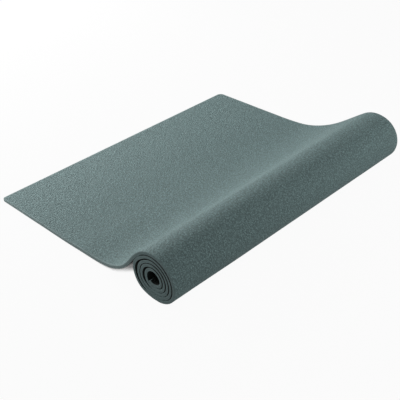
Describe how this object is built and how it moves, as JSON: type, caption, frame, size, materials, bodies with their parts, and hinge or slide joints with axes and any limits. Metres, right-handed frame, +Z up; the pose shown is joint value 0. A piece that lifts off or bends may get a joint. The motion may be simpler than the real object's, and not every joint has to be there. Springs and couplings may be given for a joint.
{
  "type": "yoga mat",
  "caption": "Foam yoga mat, half rolled up: a wound roll with a free part that lies flat on the floor and bends in hinged strips.",
  "frame": {"origin": "centre of the mat's outline as it lies, on the floor", "axes": "+X along the mat from its free edge to the roll, +Y across the mat's width along the roll's axis, +Z up"},
  "size_m": [0.4828, 0.61, 0.0931],
  "materials": {
    "top_foam": "grey-green foam with a fine pebbled grain and a soft sheen",
    "mesh_scrim": "open woven polyester mesh",
    "bottom_foam": "darker foam with a fine non-slip texture"
  },
  "bodies": {
    "roll": {"top_foam_roll": "top_foam", "mesh_scrim_roll": "mesh_scrim", "bottom_foam_roll": "bottom_foam"},
    "strip_01": {"top_foam_strip_01": "top_foam", "mesh_scrim_strip_01": "mesh_scrim", "bottom_foam_strip_01": "bottom_foam"},
    "strip_02": {"top_foam_strip_02": "top_foam", "mesh_scrim_strip_02": "mesh_scrim", "bottom_foam_strip_02": "bottom_foam"},
    "strip_03": {"top_foam_strip_03": "top_foam", "mesh_scrim_strip_03": "mesh_scrim", "bottom_foam_strip_03": "bottom_foam"},
    "strip_04": {"top_foam_strip_04": "top_foam", "mesh_scrim_strip_04": "mesh_scrim", "bottom_foam_strip_04": "bottom_foam"},
    "strip_05": {"top_foam_strip_05": "top_foam", "mesh_scrim_strip_05": "mesh_scrim", "bottom_foam_strip_05": "bottom_foam"},
    "strip_06": {"top_foam_strip_06": "top_foam", "mesh_scrim_strip_06": "mesh_scrim", "bottom_foam_strip_06": "bottom_foam"},
    "strip_07": {"top_foam_strip_07": "top_foam", "mesh_scrim_strip_07": "mesh_scrim", "bottom_foam_strip_07": "bottom_foam"},
    "strip_08": {"top_foam_strip_08": "top_foam", "mesh_scrim_strip_08": "mesh_scrim", "bottom_foam_strip_08": "bottom_foam"},
    "strip_09": {"top_foam_strip_09": "top_foam", "mesh_scrim_strip_09": "mesh_scrim", "bottom_foam_strip_09": "bottom_foam"},
    "strip_10": {"top_foam_strip_10": "top_foam", "mesh_scrim_strip_10": "mesh_scrim", "bottom_foam_strip_10": "bottom_foam"},
    "strip_11": {"top_foam_strip_11": "top_foam", "mesh_scrim_strip_11": "mesh_scrim", "bottom_foam_strip_11": "bottom_foam"},
    "strip_12": {"top_foam_strip_12": "top_foam", "mesh_scrim_strip_12": "mesh_scrim", "bottom_foam_strip_12": "bottom_foam"},
    "strip_13": {"top_foam_strip_13": "top_foam", "mesh_scrim_strip_13": "mesh_scrim", "bottom_foam_strip_13": "bottom_foam"},
    "strip_14": {"top_foam_strip_14": "top_foam", "mesh_scrim_strip_14": "mesh_scrim", "bottom_foam_strip_14": "bottom_foam"},
    "strip_15": {"top_foam_strip_15": "top_foam", "mesh_scrim_strip_15": "mesh_scrim", "bottom_foam_strip_15": "bottom_foam"},
    "strip_16": {"top_foam_strip_16": "top_foam", "mesh_scrim_strip_16": "mesh_scrim", "bottom_foam_strip_16": "bottom_foam"},
    "strip_17": {"top_foam_strip_17": "top_foam", "mesh_scrim_strip_17": "mesh_scrim", "bottom_foam_strip_17": "bottom_foam"},
    "strip_18": {"top_foam_strip_18": "top_foam", "mesh_scrim_strip_18": "mesh_scrim", "bottom_foam_strip_18": "bottom_foam"}
  },
  "joints": [
    {"name": "bend_01", "type": "hinge", "parent": "roll", "child": "strip_01", "pos_m": [0.16358, 0, 0.07896], "axis": [0, -1, 0], "range_deg": [-1.9, 9.25], "stiffness_Nm_per_rad": 0.7},
    {"name": "bend_02", "type": "hinge", "parent": "strip_01", "child": "strip_02", "pos_m": [0.14573, 0, 0.06344], "axis": [0, -1, 0], "range_deg": [-6.99, 34.01], "stiffness_Nm_per_rad": 0.7},
    {"name": "bend_03", "type": "hinge", "parent": "strip_02", "child": "strip_03", "pos_m": [0.12757, 0, 0.04829], "axis": [0, -1, 0], "range_deg": [-6.72, 32.68], "stiffness_Nm_per_rad": 0.7},
    {"name": "bend_04", "type": "hinge", "parent": "strip_03", "child": "strip_04", "pos_m": [0.10822, 0, 0.03471], "axis": [0, -1, 0], "range_deg": [-7.2, 35.03], "stiffness_Nm_per_rad": 0.7},
    {"name": "bend_05", "type": "hinge", "parent": "strip_04", "child": "strip_05", "pos_m": [0.08727, 0, 0.02378], "axis": [0, -1, 0], "range_deg": [-7.18, 34.92], "stiffness_Nm_per_rad": 0.7},
    {"name": "bend_06", "type": "hinge", "parent": "strip_05", "child": "strip_06", "pos_m": [0.06502, 0, 0.0158], "axis": [0, -1, 0], "range_deg": [-6.8, 33.08], "stiffness_Nm_per_rad": 0.7},
    {"name": "bend_07", "type": "hinge", "parent": "strip_06", "child": "strip_07", "pos_m": [0.04201, 0, 0.01034], "axis": [0, -1, 0], "range_deg": [-6.36, 30.95], "stiffness_Nm_per_rad": 0.7},
    {"name": "bend_08", "type": "hinge", "parent": "strip_07", "child": "strip_08", "pos_m": [0.01863, 0, 0.00678], "axis": [0, -1, 0], "range_deg": [-6.01, 29.24], "stiffness_Nm_per_rad": 0.7},
    {"name": "bend_09", "type": "hinge", "parent": "strip_08", "child": "strip_09", "pos_m": [-0.00491, 0, 0.0046], "axis": [0, -1, 0], "range_deg": [-5.74, 27.92], "stiffness_Nm_per_rad": 0.7},
    {"name": "bend_10", "type": "hinge", "parent": "strip_09", "child": "strip_10", "pos_m": [-0.02854, 0, 0.00343], "axis": [0, -1, 0], "range_deg": [-5.53, 26.89], "stiffness_Nm_per_rad": 0.7},
    {"name": "bend_11", "type": "hinge", "parent": "strip_10", "child": "strip_11", "pos_m": [-0.05218, 0, 0.00301], "axis": [0, -1, 0], "range_deg": [-5.3, 25.78], "stiffness_Nm_per_rad": 0.7},
    {"name": "bend_12", "type": "hinge", "parent": "strip_11", "child": "strip_12", "pos_m": [-0.07584, 0, 0.003], "axis": [0, -1, 0], "range_deg": [-5.03, 24.45], "stiffness_Nm_per_rad": 0.7},
    {"name": "bend_13", "type": "hinge", "parent": "strip_12", "child": "strip_13", "pos_m": [-0.09949, 0, 0.003], "axis": [0, -1, 0], "range_deg": [-4.94, 24.05], "stiffness_Nm_per_rad": 0.7},
    {"name": "bend_14", "type": "hinge", "parent": "strip_13", "child": "strip_14", "pos_m": [-0.12314, 0, 0.003], "axis": [0, -1, 0], "range_deg": [-4.9, 23.84], "stiffness_Nm_per_rad": 0.7},
    {"name": "bend_15", "type": "hinge", "parent": "strip_14", "child": "strip_15", "pos_m": [-0.14679, 0, 0.003], "axis": [0, -1, 0], "range_deg": [-4.84, 23.56], "stiffness_Nm_per_rad": 0.7},
    {"name": "bend_16", "type": "hinge", "parent": "strip_15", "child": "strip_16", "pos_m": [-0.17044, 0, 0.003], "axis": [0, -1, 0], "range_deg": [-4.78, 23.26], "stiffness_Nm_per_rad": 0.7},
    {"name": "bend_17", "type": "hinge", "parent": "strip_16", "child": "strip_17", "pos_m": [-0.1941, 0, 0.003], "axis": [0, -1, 0], "range_deg": [-4.72, 22.95], "stiffness_Nm_per_rad": 0.7},
    {"name": "bend_18", "type": "hinge", "parent": "strip_17", "child": "strip_18", "pos_m": [-0.21775, 0, 0.003], "axis": [0, -1, 0], "range_deg": [-4.68, 22.75], "stiffness_Nm_per_rad": 0.7}
  ]
}
